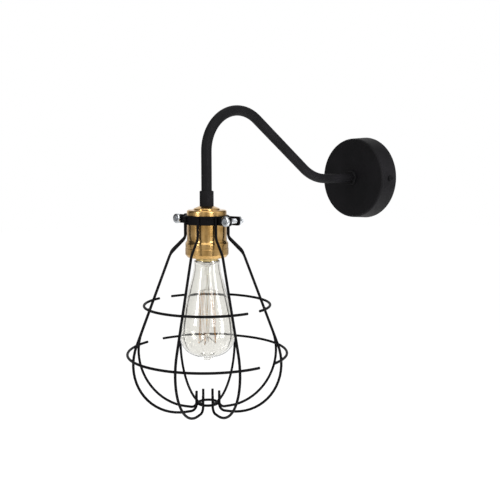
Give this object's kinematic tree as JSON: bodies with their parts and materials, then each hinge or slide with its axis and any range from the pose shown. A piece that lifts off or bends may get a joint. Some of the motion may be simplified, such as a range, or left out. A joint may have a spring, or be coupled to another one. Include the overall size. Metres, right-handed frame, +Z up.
{
  "type": "cage wall light",
  "caption": "Wall light with a bent arm on a round canopy, a brass lampholder hanging from it and a wire cage clamped round the bulb.",
  "frame": {"origin": "on the wall, at the centre of the canopy and of the two wall screws", "axes": "+Z up, +Y into the wall, the lamp hangs on a vertical axis towards -Y"},
  "size_m": [0.1874, 0.3657, 0.3537],
  "materials": {
    "black_coat": "matte black textured powder coat",
    "zinc_steel": "bright zinc plated steel",
    "satin_brass": "satin lacquered brass",
    "cap_brass": "pale rolled brass",
    "bulb_glass": "clear blown glass",
    "tungsten": "coiled wire",
    "porcelain": "glazed porcelain",
    "black_glass": "black vitreous insulator",
    "white_nylon": "moulded nylon",
    "brown_pvc": "extruded PVC",
    "blue_pvc": "extruded PVC"
  },
  "bodies": {
    "fixture": {"arm_tube": "black_coat", "canopy_cup": "black_coat", "canopy_lock_nut": "zinc_steel", "canopy_screws": "black_coat", "canopy_washer": "zinc_steel", "centre_contact": "satin_brass", "holder_cap": "satin_brass", "holder_skirt": "satin_brass", "lamp_collar": "black_coat", "lamp_lock_nut": "zinc_steel", "lamp_nipple": "zinc_steel", "live_core": "brown_pvc", "neutral_core": "blue_pvc", "screw_shell": "satin_brass", "socket_insert": "porcelain", "terminal_block": "white_nylon", "terminal_screws": "satin_brass", "wall_bracket": "zinc_steel", "wall_collar": "black_coat", "wall_nipple": "zinc_steel"},
    "bulb": {"bulb_glass": "bulb_glass", "bulb_cap": "cap_brass", "bulb_insulator": "black_glass", "bulb_contact": "zinc_steel", "glass_stem": "bulb_glass", "filament": "tungsten", "filament_supports": "tungsten"},
    "cage": {"clamp_band_front": "black_coat", "clamp_band_rear": "black_coat", "clamp_screws": "zinc_steel", "clamp_nuts": "zinc_steel", "upper_ring_front": "black_coat", "upper_ring_rear": "black_coat", "lower_ring_front": "black_coat", "lower_ring_rear": "black_coat", "base_ring": "black_coat", "cage_rib_1": "black_coat", "cage_rib_2": "black_coat", "cage_rib_3": "black_coat", "cage_rib_4": "black_coat", "cage_rib_5": "black_coat", "cage_rib_6": "black_coat", "cage_rib_7": "black_coat", "cage_rib_8": "black_coat"},
    "mouth_ring": {"mouth_ring": "satin_brass"}
  },
  "joints": [
    {"name": "bulb_unscrew", "type": "hinge", "parent": "fixture", "child": "bulb", "pos_m": [0, -0.272, -0.09], "axis": [0, 0, 1], "range_deg": [0, 1260]},
    {"name": "cage_swivel", "type": "hinge", "parent": "fixture", "child": "cage", "pos_m": [0, -0.272, -0.0436], "axis": [0, 0, 1], "continuous": true},
    {"name": "ring_unscrew", "type": "hinge", "parent": "fixture", "child": "mouth_ring", "pos_m": [0, -0.272, -0.0806], "axis": [0, 0, 1], "range_deg": [0, 1440]}
  ]
}
